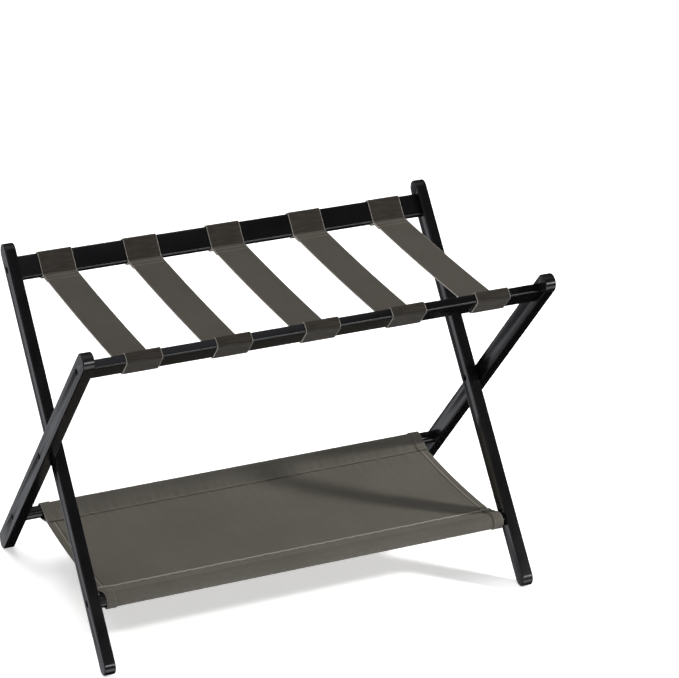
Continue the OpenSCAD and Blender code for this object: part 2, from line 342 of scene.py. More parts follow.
def makeCanvas(width, hemAt):  # the cut width, and how far from its middle the hems are sewn
    # Plain-weave polyester canvas: matt, a faint slub along the yarns, a painted highlight along its folds, painted
    # shade along each hem seam
    material, tree, uv, split, colour, shader = clothShader(
        "wovenCanvas", cloth["canvasColour"], cloth["canvasDark"],
        cloth["yarnPitch"], cloth["yarnPitch"], 0.15 * mm)
    # painted highlight on the folds and the front flap's edge
    fold = addNode(tree, "ShaderNodeAttribute", attribute_name="foldHighlight")
    foldLit = addNode(tree, "ShaderNodeMath", {0: (fold, "Fac"), 1: 0.75}, operation="MULTIPLY")
    fromMiddle = addNode(tree, "ShaderNodeMath", {0: (split, "X"), 1: width / 2}, operation="SUBTRACT")
    reach = addNode(tree, "ShaderNodeMath", {0: (fromMiddle, "Value")}, operation="ABSOLUTE")
    fromHem = addNode(tree, "ShaderNodeMath", {0: (reach, "Value"), 1: hemAt}, operation="SUBTRACT")
    distance = addNode(tree, "ShaderNodeMath", {0: (fromHem, "Value")}, operation="ABSOLUTE")
    # painted shade along the hem seam, and a painted highlight on the ridge beside it
    hemSeamShade = addNode(tree, "ShaderNodeMapRange", {
        "Value": (distance, "Value"), "From Min": 0.7 * mm, "From Max": 1.5 * mm, "To Min": 0.75, "To Max": 0.0,
    })
    fromRidge = addNode(tree, "ShaderNodeMath", {0: (fromHem, "Value"), 1: cloth["ridgeFromSeam"]},
                        operation="SUBTRACT")
    ridgeDistance = addNode(tree, "ShaderNodeMath", {0: (fromRidge, "Value")}, operation="ABSOLUTE")
    ridgeHighlight = addNode(tree, "ShaderNodeMapRange", {
        "Value": (ridgeDistance, "Value"), "From Min": 0.3 * mm, "From Max": 1.0 * mm, "To Min": 0.35, "To Max": 0.0,
    })
    paler = addNode(tree, "ShaderNodeMath", {0: (foldLit, "Value"), 1: (ridgeHighlight, "Result")}, operation="MAXIMUM")
    paled = addNode(tree, "ShaderNodeMix", {
        "Factor": (paler, "Value"), 6: (colour, "Vector"), 7: toLinear(cloth["canvasFoldHighlight"]),
    }, data_type="RGBA")
    hemSeamShaded = addNode(tree, "ShaderNodeMix", {
        "Factor": (hemSeamShade, "Result"), 6: (paled, 2), 7: toLinear(cloth["canvasSeamShade"]),
    }, data_type="RGBA")
    setInputs(tree, shader, {"Base Color": (hemSeamShaded, 2)})
    return material


def makeThread():
    # Bonded polyester sewing thread: twisted, slightly shiny
    material, tree, shader = newMaterial("polyesterThread")
    place = addNode(tree, "ShaderNodeTexCoord")
    twist = addNode(tree, "ShaderNodeTexNoise", {"Vector": (place, "Object"), "Scale": 900.0, "Detail": 1.0})
    tone = addNode(tree, "ShaderNodeMix", {
        "Factor": (twist, "Fac"), 6: toLinear("#5d5850"), 7: toLinear(cloth["threadColour"]),
    }, data_type="RGBA")
    setInputs(tree, shader, {"Base Color": (tone, 2), "Roughness": 0.55, "Sheen Weight": 0.1})
    return material


def makeBlackOxide():
    # Steel fasteners with a black oxide finish: dark, oily satin, brighter where the key rubs
    material, tree, shader = newMaterial("blackOxideSteel")
    place = addNode(tree, "ShaderNodeTexCoord")
    cloud = addNode(tree, "ShaderNodeTexNoise", {"Vector": (place, "Object"), "Scale": 400.0, "Detail": 3.0})
    tone = addNode(tree, "ShaderNodeMix", {
        "Factor": (cloud, "Fac"), 6: toLinear("#2b2b2e"), 7: toLinear("#4a4a4d"),
    }, data_type="RGBA")
    gloss = addNode(tree, "ShaderNodeMapRange", {"Value": (cloud, "Fac"), "To Min": 0.3, "To Max": 0.5})
    setInputs(tree, shader, {"Base Color": (tone, 2), "Roughness": (gloss, "Result"), "Metallic": 1.0})
    return material


def makeBeech():
    # Bare turned beech: pale, short darker flecks along the grain
    material, tree, shader = newMaterial("turnedBeech")
    place = addNode(tree, "ShaderNodeTexCoord")
    stretch = addNode(tree, "ShaderNodeMapping", {"Vector": (place, "Object"), "Scale": (80.0, 900.0, 900.0)})
    fleck = addNode(tree, "ShaderNodeTexNoise", {"Vector": (stretch, "Vector"), "Scale": 1.0, "Detail": 4.0})
    tone = addNode(tree, "ShaderNodeMix", {
        "Factor": (fleck, "Fac"), 6: toLinear("#a07a4c"), 7: toLinear("#d8b98c"),
    }, data_type="RGBA")
    bump = addNode(tree, "ShaderNodeBump", {"Height": (fleck, "Fac"), "Strength": 0.3, "Distance": 0.1 * mm})
    setInputs(tree, shader, {"Base Color": (tone, 2), "Normal": (bump, "Normal"), "Roughness": 0.6})
    return material


# The grain runs up the legs, which lean one way in one frame and the other way in the other
upright = math.pi / 2
lacquerOn = {
    "outer_frame": makeLacquer("satinLacquerOuterLegs", (-openAngle, upright, 0), lacquer["roughness"]),
    "inner_frame": makeLacquer("satinLacquerInnerLegs", (openAngle, upright, 0), lacquer["roughness"]),
    "rails": makeLacquer("satinLacquerRails", (0, 0, 0), lacquer["roughness"]),
    "rods": makeLacquer("glossLacquerRods", (0, 0, 0), lacquer["rodRoughness"]),
}
strapLow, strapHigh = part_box("strap_1_front_loop")
webbing = makeWebbing(strapHigh.x - strapLow.x)
thread = makeThread()
blackOxide = makeBlackOxide()
beech = makeBeech()
print("materials: made")


# Wooden parts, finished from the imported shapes

woodwork = {
    "pieces": {  # CAD part, the frame it moves with, its finish
        "outerLegLeft": ("outer_leg_left", "outer_frame", "outer_frame"),
        "outerLegRight": ("outer_leg_right", "outer_frame", "outer_frame"),
        "innerLegLeft": ("inner_leg_left", "inner_frame", "inner_frame"),
        "innerLegRight": ("inner_leg_right", "inner_frame", "inner_frame"),
        "frontTopRail": ("front_top_rail", "outer_frame", "rails"),
        "backTopRail": ("back_top_rail", "inner_frame", "rails"),
        "frontLowerRod": ("front_lower_rod", "inner_frame", "rods"),
        "backLowerRod": ("back_lower_rod", "outer_frame", "rods"),
    },
    "sharpAngle": 35,
    "easeWidth": 0.35 * mm,  # the lacquer rounds every rim this much
    "roundedWidth": 2.5 * mm,  # narrower faces than this belong to a rounded edge
}


def finishedCopy(nodeName, name, material):  # welded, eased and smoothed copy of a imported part
    shape = bmesh.new()
    shape.from_mesh(frame["nodes"][nodeName].data)
    bmesh.ops.remove_doubles(shape, verts=shape.verts, dist=0.004 * mm)
    bmesh.ops.dissolve_limit(shape, angle_limit=math.radians(0.4), verts=shape.verts, edges=shape.edges)
    wearAndHighlight = shape.loops.layers.float.new("edgeWearAndHighlight")
    limit = math.radians(woodwork["sharpAngle"])
    rims = [e for e in shape.edges if len(e.link_faces) == 2 and e.calc_face_angle(0.0) > limit]
    made = bmesh.ops.bevel(shape, geom=rims, offset=woodwork["easeWidth"], segments=2,
                           profile=0.6, affect="EDGES", clamp_overlap=True)
    eased = set(made["faces"])
    for face in shape.faces:  # worn lacquer plus a painted highlight: rims most, the long rounded edges less, the flats not at all
        narrow = 2 * face.calc_area() / face.calc_perimeter() < woodwork["roundedWidth"]
        for loop in face.loops:
            loop[wearAndHighlight] = 1.0 if face in eased else 0.5 if narrow else 0.0
    mesh = bpy.data.meshes.new(name)
    shape.to_mesh(mesh)
    shape.free()
    smoothByAngle(mesh, woodwork["sharpAngle"])
    return newObject(name, mesh, material)


for name, (nodeName, body, finish) in woodwork["pieces"].items():
    piece = finishedCopy(nodeName, name, lacquerOn[finish])
    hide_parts(nodeName)
    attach(piece, body)
for nodeName in ("front_rail_dowels", "back_rail_dowels"):
    frame["nodes"][nodeName].data.materials.clear()
    frame["nodes"][nodeName].data.materials.append(beech)
print("woodwork: legs, rails and rods finished")


# Fasteners

fastener = {
    "headRadius": 4.3 * mm,
    "headHeight": 2.6 * mm,
    "keyWidth": 4.0 * mm,
    "keyDepth": 1.8 * mm,
    "rimEase": 0.5 * mm,
    "threadPitch": 1.4 * mm,
    "boltRadius": 2 * mm,  # the wood screws' too
    "sleeveRadius": 3.25 * mm,
    "sharpAngle": 35,
}


def ringOf(radius, x, count, turn=0.0):
    return [(x, radius * math.cos(math.tau * i / count + turn), radius * math.sin(math.tau * i / count + turn))
            for i in range(count)]


def lathe(name, rings, material):  # rings of equal count, closed at both ends, faces outwards
    shape = bmesh.new()
    loops = [[shape.verts.new(p) for p in ring] for ring in rings]
    count = len(loops[0])
    for first, second in zip(loops, loops[1:]):
        for i in range(count):
            j = (i + 1) % count
            shape.faces.new((first[i], first[j], second[j], second[i]))
    shape.faces.new(loops[0])
    shape.faces.new(loops[-1])
    bmesh.ops.recalc_face_normals(shape, faces=shape.faces)
    mesh = bpy.data.meshes.new(name)
    shape.to_mesh(mesh)
    shape.free()
    smoothByAngle(mesh, fastener["sharpAngle"])
    mesh.materials.append(material)
    return mesh


def keyedHead():  # from the key socket's floor, up its walls, over the rim and down to the seat
    count = 48
    half = fastener["keyWidth"] / 2

    def hexRing(scale, x):
        points = []
        for i in range(count):
            a = math.tau * i / count
            nearest = (a % (math.pi / 3)) - math.pi / 6
            reach = half * scale / math.cos(nearest)
            points.append((x, reach * math.cos(a), reach * math.sin(a)))
        return points

    radius, ease, height = fastener["headRadius"], fastener["rimEase"], fastener["headHeight"]
    rings = [hexRing(0.02, -fastener["keyDepth"] - 0.5 * mm), hexRing(1.0, -fastener["keyDepth"]),
             hexRing(1.0, -0.25 * mm), hexRing(1.08, 0.0)]
    for step in range(5):
        a = math.pi / 2 * step / 4
        rings.append(ringOf(radius - ease + ease * math.sin(a), -ease + ease * math.cos(a), count))
    rings.append(ringOf(radius, -height, count))
    return rings, count


def screwMesh(name, shankRadius, length, threaded):
    rings, count = keyedHead()
    start = -fastener["headHeight"]
    rings.append(ringOf(shankRadius, start, count))
    if threaded:
        pitch = fastener["threadPitch"]
        core = shankRadius * 0.72
        turns = int((length - 8 * mm) / pitch)
        for i in range(turns):
            x = start - 4 * mm - i * pitch
            rings.append(ringOf(core, x, count))
            rings.append(ringOf(shankRadius, x - pitch * 0.5, count))
            rings.append(ringOf(core, x - pitch * 0.7, count))
        rings.append(ringOf(core * 0.15, start - length, count))
    else:
        rings.append(ringOf(shankRadius, start - length + 0.4 * mm, count))
        rings.append(ringOf(shankRadius - 0.4 * mm, start - length, count))
    return lathe(name, rings, blackOxide)


def newTree(name, sockets):
    tree = bpy.data.node_groups.new(name, "GeometryNodeTree")
    tree.interface.new_socket("Geometry", in_out="INPUT", socket_type="NodeSocketGeometry")
    for label, kind, value in sockets:
        socket = tree.interface.new_socket(label, in_out="INPUT", socket_type=kind)
        if value is not None:
            socket.default_value = value
    tree.interface.new_socket("Geometry", in_out="OUTPUT", socket_type="NodeSocketGeometry")
    return tree, addNode(tree, "NodeGroupInput")


def finishTree(tree, source, output):  # instances are made real, and the finish is set
    given = [n for n in tree.nodes if n.bl_idname == "NodeGroupInput"][0]
    real = addNode(tree, "GeometryNodeRealizeInstances", {"Geometry": (source, output)})
    finish = addNode(tree, "GeometryNodeSetMaterial", {"Geometry": (real, "Geometry"), "Material": (given, "Finish")})
    addNode(tree, "NodeGroupOutput", {"Geometry": (finish, "Geometry")})


def runTree(piece, tree, values):  # sets the inputs by identifier, then bakes the result
    modifier = piece.modifiers.new("shape", "NODES")
    modifier.node_group = tree
    identifiers = {s.name: s.identifier for s in tree.interface.items_tree if s.in_out == "INPUT"}
    for label, value in values.items():
        modifier[identifiers[label]] = value
    return bakeModifiers(piece)


def makeFastenerTree():  # one fastener at each point, turned to its point's "facing"
    tree, given = newTree("fastenersOnPoints", [
        ("Fastener", "NodeSocketObject", None), ("Finish", "NodeSocketMaterial", None),
        ("Key Turn Seed", "NodeSocketInt", 3),
    ])
    facing = addNode(tree, "GeometryNodeInputNamedAttribute", {"Name": "facing"}, data_type="FLOAT_VECTOR")
    face = addNode(tree, "FunctionNodeAlignRotationToVector", {"Vector": (facing, "Attribute")}, axis="X")
    keyTurn = addNode(tree, "FunctionNodeRandomValue", {
        "Seed": (given, "Key Turn Seed"), 3: math.pi,
    }, data_type="FLOAT")
    spin = addNode(tree, "ShaderNodeCombineXYZ", {"X": (keyTurn, 1)})
    turned = addNode(tree, "FunctionNodeRotateRotation", {
        "Rotation": (face, "Rotation"), "Rotate By": (spin, "Vector"),
    }, rotation_space="LOCAL")
    shape = addNode(tree, "GeometryNodeObjectInfo", {"Object": (given, "Fastener")})
    points = addNode(tree, "GeometryNodeMeshToPoints", {"Mesh": (given, "Geometry")})
    placed = addNode(tree, "GeometryNodeInstanceOnPoints", {
        "Points": (points, "Points"), "Instance": (shape, "Geometry"), "Rotation": (turned, "Rotation"),
    })
    finishTree(tree, placed, "Instances")
    return tree


def headFaces(nodeName, side):  # where the outer faces of a pair of heads are: (point, facing)
    centre = nodeCentre(nodeName)
    reach = [abs(v.co.x) for v in frame["nodes"][nodeName].data.vertices]
    x = max(reach) if side > 0 else min(reach)
    return [(Vector((s * x, centre.y, centre.z)), Vector((s * side, 0, 0))) for s in (-1, 1)]


def placeFasteners(name, mesh, nodeName, body, side, tree):
    spots = headFaces(nodeName, side)
    holder = newObject(name, meshFrom(name, [p for p, facing in spots]))
    layer = holder.data.attributes.new("facing", "FLOAT_VECTOR", "POINT")
    layer.data.foreach_set("vector", [c for p, facing in spots for c in facing])
    pattern = bpy.data.objects.new(name + "Pattern", mesh)
    runTree(holder, tree, {"Fastener": pattern, "Finish": blackOxide, "Key Turn Seed": len(name)})
    bpy.data.objects.remove(pattern)
    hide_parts(nodeName)
    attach(holder, body)


def reachOf(nodeName):  # length of one fastener of a pair, head included
    reach = [abs(v.co.x) for v in frame["nodes"][nodeName].data.vertices]
    return max(reach) - min(reach)


def fastenerLike(name, nodeName, radius, threaded):
    return screwMesh(name, radius, reachOf(nodeName) - fastener["headHeight"], threaded)


fastenerTree = makeFastenerTree()
woodScrew = fastenerLike("woodScrew", "front_rail_screws", fastener["boltRadius"], True)
pivotBolt = fastenerLike("pivotBolt", "pivot_bolts", fastener["boltRadius"], False)
sleeveNut = fastenerLike("sleeveNut", "pivot_sleeve_nuts", fastener["sleeveRadius"], False)
for name, mesh, nodeName, body, side in (  # the side is 1 where the heads face outwards, -1 inwards
        ("frontRailScrews", woodScrew, "front_rail_screws", "outer_frame", 1),
        ("backRodScrews", woodScrew, "back_rod_screws", "outer_frame", 1),
        ("backRailScrews", woodScrew, "back_rail_screws", "inner_frame", 1),
        ("frontRodScrews", woodScrew, "front_rod_screws", "inner_frame", 1),
        ("pivotBolts", pivotBolt, "pivot_bolts", "outer_frame", 1),
        ("pivotSleeveNuts", sleeveNut, "pivot_sleeve_nuts", "outer_frame", -1)):
    placeFasteners(name, mesh, nodeName, body, side, fastenerTree)
washers = finishedCopy("pivot_washers", "pivotWashers", blackOxide)
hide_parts("pivot_washers")
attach(washers, "outer_frame")
print("fasteners: placed")


# Straps

strap = {
    "thickness": 1.7 * mm,
    "woodGap": 0.25 * mm,
    "plyGap": 0.12 * mm,
    "patchLength": 21 * mm,   # the end sewn under the span
    "sag": 2.5 * mm,
    "ribHeight": 0.09 * mm,
    "sampleStep": 0.6 * mm,
    "edgeRound": 0.6 * mm,
    "stitchPitch": 3.4 * mm,
    "stitchLength": 2.5 * mm,
    "threadWidth": 0.75 * mm,
    "stitchRows": (9 * mm, 18 * mm),  # from where the span leaves the rail
    "stitchLift": 0.12 * mm,
    "railEdgeRadius": 2.5 * mm,
    "bendReach": 1.8 * mm,    # how far each side of a bend it curves
    "bendRoom": 3 * mm,       # kept clear of points beside a bend
}


def arcPoints(centre, radius, first, last, steps):  # on the YZ plane; angles from +Y towards +Z
    return [Vector((0, centre.y + radius * math.cos(a), centre.z + radius * math.sin(a)))
            for a in np.linspace(first, last, steps)]


def roundedBend(before, bend, after, reach, steps):  # a quadratic curve that softens a corner
    start = bend + (before - bend).normalized() * reach
    end = bend + (after - bend).normalized() * reach
    return [start * (1 - t) ** 2 + bend * 2 * t * (1 - t) + end * t ** 2 for t in np.linspace(0, 1, steps)]


def angleOf(direction):
    return math.atan2(direction.z, direction.y)


def railLoop(body, side):
    # From below a rail, up its outer face, over the top and down its inner face on to the span.
    # side is -1 for the front rail and 1 for the back one.
    up, inwards = along[body], inward[body]
    centre = pivot + up * (railLow + railHigh) / 2
    edgeRadius = strap["railEdgeRadius"]
    radius = edgeRadius + strap["woodGap"] + strap["thickness"] / 2

    def corner(a, b):
        return (centre + inwards * a * (railHalfThickness - edgeRadius)
                + up * b * (railHalfWidth - edgeRadius))

    points = []
    for a, b, fromWay, toWay in ((-1, -1, -up, -inwards), (-1, 1, -inwards, up), (1, 1, up, inwards)):
        first, last = angleOf(fromWay), angleOf(toWay)
        turn = (last - first) % math.tau if side > 0 else (last - first) % math.tau - math.tau
        points += arcPoints(corner(a, b), radius, first, first + turn, 8)
    lowCorner = corner(1, -1)
    rise = spanLevel - lowCorner.z
    drop = strap["thickness"] + strap["plyGap"] - rise
    landing = lowCorner + Vector((0, -side * (radius - rise * inwards.z) / abs(inwards.y), rise))
    leaving = lowCorner + Vector((0, -side * (radius - drop * up.z) / abs(up.y), -drop))
    return points, leaving, landing


def strapPath():
    # The webbing starts sewn under the span, goes under, round and over the front rail, across, and the same behind
    loops = {side: railLoop(body, side) for side, body in ((-1, "outer_frame"), (1, "inner_frame"))}
    landings = {side: loops[side][2] for side in loops}

    def sagAt(y):
        return strap["sag"] * max(0.0, 1 - (y / landings[-1].y) ** 2)

    halves = {}
    for side, (loop, leaving, landing) in loops.items():
        toMiddle = Vector((0, -side * 30 * mm, 0))
        ends = np.linspace(strap["patchLength"], strap["bendRoom"], 8)
        flat = [Vector((0, leaving.y - side * reach, leaving.z - sagAt(leaving.y - side * reach))) for reach in ends]
        under = roundedBend(leaving + toMiddle, leaving, loop[0], strap["bendReach"], 6)
        down = roundedBend(loop[-1], landing, landing + toMiddle, strap["bendReach"], 6)
        halves[side] = flat + under + loop + down
    reach = abs(landings[-1].y) - strap["bendRoom"]
    span = [Vector((0, y, spanLevel - sagAt(y))) for y in np.linspace(-reach, reach, 44)]
    return halves[-1] + span + halves[1][::-1], landings[-1], landings[1]


def strapSection(width):  # the webbing's cut end: flat faces, rounded selvedges
    halfWidth, half, ease = width / 2, strap["thickness"] / 2, strap["edgeRound"]
    flats = [t * (halfWidth - ease - 0.2 * mm) for t in np.linspace(-1, 1, 9)]
    quarter = np.linspace(0, math.pi / 2, 5)
    points = [(x, half) for x in flats]
    points += [(halfWidth - ease + ease * math.sin(a), half - ease + ease * math.cos(a)) for a in quarter]
    points += [(halfWidth - ease + ease * math.cos(a), -half + ease - ease * math.sin(a)) for a in quarter]
    points += [(-x, -half) for x in flats]
    points += [(-halfWidth + ease - ease * math.sin(a), -half + ease - ease * math.cos(a)) for a in quarter]
    points += [(-halfWidth + ease - ease * math.cos(a), half - ease + ease * math.sin(a)) for a in quarter]
    count = len(points)
    mesh = meshFrom("webbingSection", [(x, y, 0) for x, y in points],
                    edges=[(i, (i + 1) % count) for i in range(count)])
    return bpy.data.objects.new("webbingSection", mesh)


def makeStrapTree():
    # Sweeps the webbing's section along the path, with a rib across it every few millimetres
    tree, given = newTree("webbingAlongPath", [
        ("Section", "NodeSocketObject", None), ("Step", "NodeSocketFloat", 0.0006),
        ("Rib Pitch", "NodeSocketFloat", 0.0024), ("Rib Height", "NodeSocketFloat", 0.0001),
        ("Finish", "NodeSocketMaterial", None),
    ])
    line = addNode(tree, "GeometryNodeMeshToCurve", {"Mesh": (given, "Geometry")})
    even = addNode(tree, "GeometryNodeResampleCurve", {
        "Curve": (line, "Curve"), "Length": (given, "Step"),
    }, mode="LENGTH")
    walked = addNode(tree, "GeometryNodeSplineParameter")
    keptLength = addNode(tree, "GeometryNodeStoreNamedAttribute", {
        "Geometry": (even, "Curve"), "Name": "alongStrap", "Value": (walked, "Length"),
    }, data_type="FLOAT", domain="POINT")
    cut = addNode(tree, "GeometryNodeObjectInfo", {"Object": (given, "Section")})
    section = addNode(tree, "GeometryNodeMeshToCurve", {"Mesh": (cut, "Geometry")})
    where = addNode(tree, "GeometryNodeInputPosition")
    whereSplit = addNode(tree, "ShaderNodeSeparateXYZ", {"Vector": (where, "Position")})
    keptAcross = addNode(tree, "GeometryNodeStoreNamedAttribute", {
        "Geometry": (section, "Curve"), "Name": "acrossStrap", "Value": (whereSplit, "X"),
    }, data_type="FLOAT", domain="POINT")
    swept = addNode(tree, "GeometryNodeCurveToMesh", {
        "Curve": (keptLength, "Geometry"), "Profile Curve": (keptAcross, "Geometry"), "Fill Caps": True,
    })
    length = addNode(tree, "GeometryNodeInputNamedAttribute", {"Name": "alongStrap"}, data_type="FLOAT")
    perRib = addNode(tree, "ShaderNodeMath", {0: (length, "Attribute"), 1: (given, "Rib Pitch")}, operation="DIVIDE")
    turns = addNode(tree, "ShaderNodeMath", {0: (perRib, "Value"), 1: math.tau}, operation="MULTIPLY")
    wave = addNode(tree, "ShaderNodeMath", {0: (turns, "Value")}, operation="SINE")
    rise = addNode(tree, "ShaderNodeMath", {0: (wave, "Value"), 1: (given, "Rib Height")}, operation="MULTIPLY")
    normal = addNode(tree, "GeometryNodeInputNormal")
    shift = addNode(tree, "ShaderNodeVectorMath", {
        0: (normal, "Normal"), "Scale": (rise, "Value"),
    }, operation="SCALE")
    ribbed = addNode(tree, "GeometryNodeSetPosition", {"Geometry": (swept, "Mesh"), "Offset": (shift, "Vector")})
    smooth = addNode(tree, "GeometryNodeSetShadeSmooth", {"Geometry": (ribbed, "Geometry")})
    finishTree(tree, smooth, "Geometry")
    return tree


def readFloats(mesh, name):
    layer = mesh.attributes[name]
    values = np.zeros(len(layer.data), np.float32)
    layer.data.foreach_get("value", values)
    return values


def writeUv(mesh, across, alongPiece):
    uv = mesh.uv_layers.new(name="cloth")
    corner = np.zeros(len(mesh.loops), np.int32)
    mesh.loops.foreach_get("vertex_index", corner)
    uv.data.foreach_set("uv", np.stack([across[corner], alongPiece[corner]], 1).astype(np.float32).ravel())


def finishCloth(piece):
    # The piece's own UV map is in metres across and along it. Round the rails it is marked for the webbing's painted
    # shade
    across, alongPiece = readFloats(piece.data, "acrossStrap"), readFloats(piece.data, "alongStrap")
    writeUv(piece.data, across, alongPiece)
    place = np.array([v.co for v in piece.data.vertices])
    railLoopShade = np.clip((np.abs(place[:, 1]) - abs(leaveFront.y)) / (1.5 * mm) + 1, 0, 1)
    layer = piece.data.attributes.new("railLoopShade", "FLOAT", "POINT")
    layer.data.foreach_set("value", railLoopShade.astype(np.float32))


def outwards(piece):
    shape = bmesh.new()
    shape.from_mesh(piece.data)
    bmesh.ops.remove_doubles(shape, verts=shape.verts, dist=0.001 * mm)
    bmesh.ops.recalc_face_normals(shape, faces=shape.faces)
    shape.to_mesh(piece.data)
    shape.free()


def makeStitchTree():
    tree, given = newTree("stitchesAlongPath", [
        ("Pitch", "NodeSocketFloat", 0.0034), ("Length", "NodeSocketFloat", 0.0025),
        ("Thread", "NodeSocketFloat", 0.0007), ("Tilt Seed", "NodeSocketInt", 5),
        ("Finish", "NodeSocketMaterial", None),
    ])
    line = addNode(tree, "GeometryNodeMeshToCurve", {"Mesh": (given, "Geometry")})
    even = addNode(tree, "GeometryNodeResampleCurve", {
        "Curve": (line, "Curve"), "Length": (given, "Pitch"),
    }, mode="LENGTH")
    tangent = addNode(tree, "GeometryNodeInputTangent")
    face = addNode(tree, "FunctionNodeAlignRotationToVector", {"Vector": (tangent, "Tangent")}, axis="X")
    tilt = addNode(tree, "FunctionNodeRandomValue", {
        "Seed": (given, "Tilt Seed"), 2: -0.12, 3: 0.12,
    }, data_type="FLOAT")
    lean = addNode(tree, "ShaderNodeCombineXYZ", {"Z": (tilt, 1)})
    turned = addNode(tree, "FunctionNodeRotateRotation", {
        "Rotation": (face, "Rotation"), "Rotate By": (lean, "Vector"),
    }, rotation_space="LOCAL")
    ball = addNode(tree, "GeometryNodeMeshUVSphere", {"Segments": 6, "Rings": 5, "Radius": 0.5})
    size = addNode(tree, "ShaderNodeCombineXYZ", {
        "X": (given, "Length"), "Y": (given, "Thread"), "Z": (given, "Thread"),
    })
    placed = addNode(tree, "GeometryNodeInstanceOnPoints", {
        "Points": (even, "Curve"), "Instance": (ball, "Mesh"),
        "Rotation": (turned, "Rotation"), "Scale": (size, "Vector"),
    })
    smooth = addNode(tree, "GeometryNodeSetShadeSmooth", {"Geometry": (placed, "Instances")})
    finishTree(tree, smooth, "Geometry")
    return tree


def sewLines(name, lines, tree, pitch, length, width):  # one piece of stitches along several polylines
    points, edges = [], []
    for line in lines:
        start = len(points)
        points += line
        edges += [(start + i, start + i + 1) for i in range(len(line) - 1)]
    piece = newObject(name, meshFrom(name, points, edges=edges))
    runTree(piece, tree, {
        "Pitch": pitch, "Length": length, "Thread": width, "Tilt Seed": len(name), "Finish": thread,
    })
    outwards(piece)
    return piece


spanLevel = nodeCentre("strap_3_span").z
strapLine, leaveFront, leaveBack = strapPath()
strapTree = makeStrapTree()
stitchTree = makeStitchTree()
strapSeams = []
for number in range(1, 6):
    low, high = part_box(f"strap_{number}_front_loop")
    middle, width = (low.x + high.x) / 2, high.x - low.x
    name = f"strap{number}"
    path = [p + Vector((middle, 0, 0)) for p in strapLine]
    piece = newObject(name, meshFrom(name, path, edges=[(i, i + 1) for i in range(len(path) - 1)]))
    section = strapSection(width)
    runTree(piece, strapTree, {
        "Section": section, "Step": strap["sampleStep"],
        "Rib Pitch": cloth["ribPitch"], "Rib Height": strap["ribHeight"], "Finish": webbing,
    })
    bpy.data.objects.remove(section)
    outwards(piece)
    finishCloth(piece)
    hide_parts(*[f"strap_{number}_{part}" for part in ("front_loop", "span", "back_loop")])
    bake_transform(piece)
    for corner, side in ((leaveFront, -1), (leaveBack, 1)):
        for row in strap["stitchRows"]:
            y = corner.y - side * row
            drop = strap["sag"] * (1 - (y / leaveFront.y) ** 2)
            z = spanLevel + strap["thickness"] / 2 - drop + strap["stitchLift"]
            strapSeams.append([Vector((middle + x, y, z)) for x in np.linspace(-0.46, 0.46, 12) * width])
stitches = sewLines("strapStitches", strapSeams, stitchTree,
                    strap["stitchPitch"], strap["stitchLength"], strap["threadWidth"])
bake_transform(stitches)


# Shelf

shelf = {
    "thickness": 0.9 * mm,
    "rodGap": 0.3 * mm,
    "seamReach": 27 * mm,      # from the rod's centre to the sleeve's seam
    "frontSeamRise": 1 * mm,
    "backSeamRise": -3 * mm,
    "overlap": 5 * mm,         # sleeve's folded edge past the seam
    "hemDepth": 14 * mm,       # turned to the outside at each end
    "hemStitchIn": 2 * mm,     # from the turned edge to the line it is sewn along
    "endInset": 1.7 * mm,      # shorter than the sleeves' room, and sewn a little to the right
    "sag": 5 * mm,
    "panelSteps": 46,
    "pucker": 0.28 * mm,
    "stitchPitch": 3.6 * mm,
    "stitchLength": 2.6 * mm,
    "threadWidth": 0.7 * mm,
    "stitchLift": 0.12 * mm,
    "blendReach": 8 * mm,      # how far past each seam it still bends with the fold
    "stiffness": 60,
    "bendStiffness": 2.0,
    "settleFrames": 24,
}


def sleevePath(rodCentre, side, seam):
    # From the seam under the rod, round its outside, back over the top to the seam; side -1 is the front
    layer = shelf["thickness"]
    radius = rodRadius + shelf["rodGap"] + 1.5 * layer
    reach = seam - rodCentre
    distance = math.hypot(reach.y, reach.z)
    heading = math.atan2(reach.z, reach.y)
    spread = math.acos(radius / distance)
    lower = heading - spread if side < 0 else heading + spread
    upper = heading + spread if side < 0 else heading - spread
    turn = math.tau - 2 * spread
    stop = lower - turn if side < 0 else lower + turn
    arc = arcPoints(rodCentre, radius, lower, stop, 26)
    straightIn = [seam.lerp(arc[0], t) for t in np.linspace(0, 1, 7)[:-1]]
    top = seam + Vector((0, 0, 1.35 * layer))
    straightOut = [arc[-1].lerp(top, t) for t in np.linspace(0, 1, 7)[1:]]
    edge = top + Vector((0, -side * shelf["overlap"], -0.4 * layer))
    flap = [top.lerp(edge, t) for t in (0.5, 0.84, 1.0)]
    return straightIn + arc + straightOut + flap


